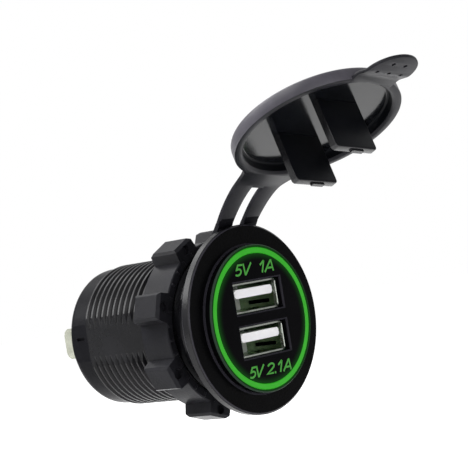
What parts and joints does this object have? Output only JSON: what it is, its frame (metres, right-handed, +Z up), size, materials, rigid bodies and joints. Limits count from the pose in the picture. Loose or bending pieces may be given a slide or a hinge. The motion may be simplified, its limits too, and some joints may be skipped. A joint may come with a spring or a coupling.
{
  "type": "car dual usb socket",
  "caption": "Round panel socket with two stacked charging ports, a green light ring, a lugged clamping nut on a ridged barrel and a rubber cap on twin straps, shown open.",
  "frame": {"origin": "centre of the panel hole, in the plane of the panel's front surface, which is the back of the rubber ring behind the flange", "axes": "+Y runs back along the barrel to the blade terminals, the face and the ports look along -Y, +Z is up towards the cap, +X is the viewer's right when facing the ports"},
  "size_m": [0.037, 0.0931, 0.0612],
  "materials": {
    "housing_plastic": "satin black moulding with a fine grain",
    "cover_plastic": "satin black moulding",
    "face_plastic": "smooth black face with green lettering",
    "light_lens": "translucent green light ring",
    "board_green": "green solder mask",
    "led_body": "pale light chips",
    "shell_steel": "bright pressed steel",
    "port_insulator": "white moulding",
    "contact_gold": "gold-plated strips",
    "header_black": "black moulding",
    "ferrite": "dark ferrite",
    "capacitor_sleeve": "blue sleeve",
    "chip_black": "black moulding",
    "tinned_brass": "bright tin plating",
    "nut_plastic": "satin black moulding",
    "cap_rubber": "soft matt black rubber"
  },
  "bodies": {
    "socket": {"housing": "housing_plastic", "rear_cover": "cover_plastic", "face_plate": "face_plastic", "light_ring": "light_lens", "led_board": "board_green", "leds": "led_body", "usb_shell_upper": "shell_steel", "usb_shell_lower": "shell_steel", "usb_tongue_upper": "port_insulator", "usb_tongue_lower": "port_insulator", "usb_contacts_upper": "contact_gold", "usb_contacts_lower": "contact_gold", "port_board": "board_green", "power_board": "board_green", "board_link": "header_black", "inductor": "ferrite", "input_capacitor": "capacitor_sleeve", "output_capacitor": "capacitor_sleeve", "regulator_chip": "chip_black", "terminal_positive": "tinned_brass", "terminal_negative": "tinned_brass", "cap_ring": "cap_rubber", "cap_straps": "cap_rubber"},
    "cap": {"cap_lid": "cap_rubber", "cap_plugs": "cap_rubber"},
    "nut": {"ring_nut": "nut_plastic"}
  },
  "joints": [
    {"name": "cap_swing", "type": "hinge", "parent": "socket", "child": "cap", "pos_m": [0, -0.00416, 0.02398], "axis": [0.9959, -0.0785, -0.0454], "range_deg": [0, 114], "stiffness_Nm_per_rad": 0.03, "springref_deg": -2.01, "deforming": ["cap_straps", "cap_plugs"]},
    {"name": "nut_travel", "type": "slide", "parent": "socket", "child": "nut", "axis": [0, 1, 0], "range_m": [-0.0041, 0.0175]}
  ]
}
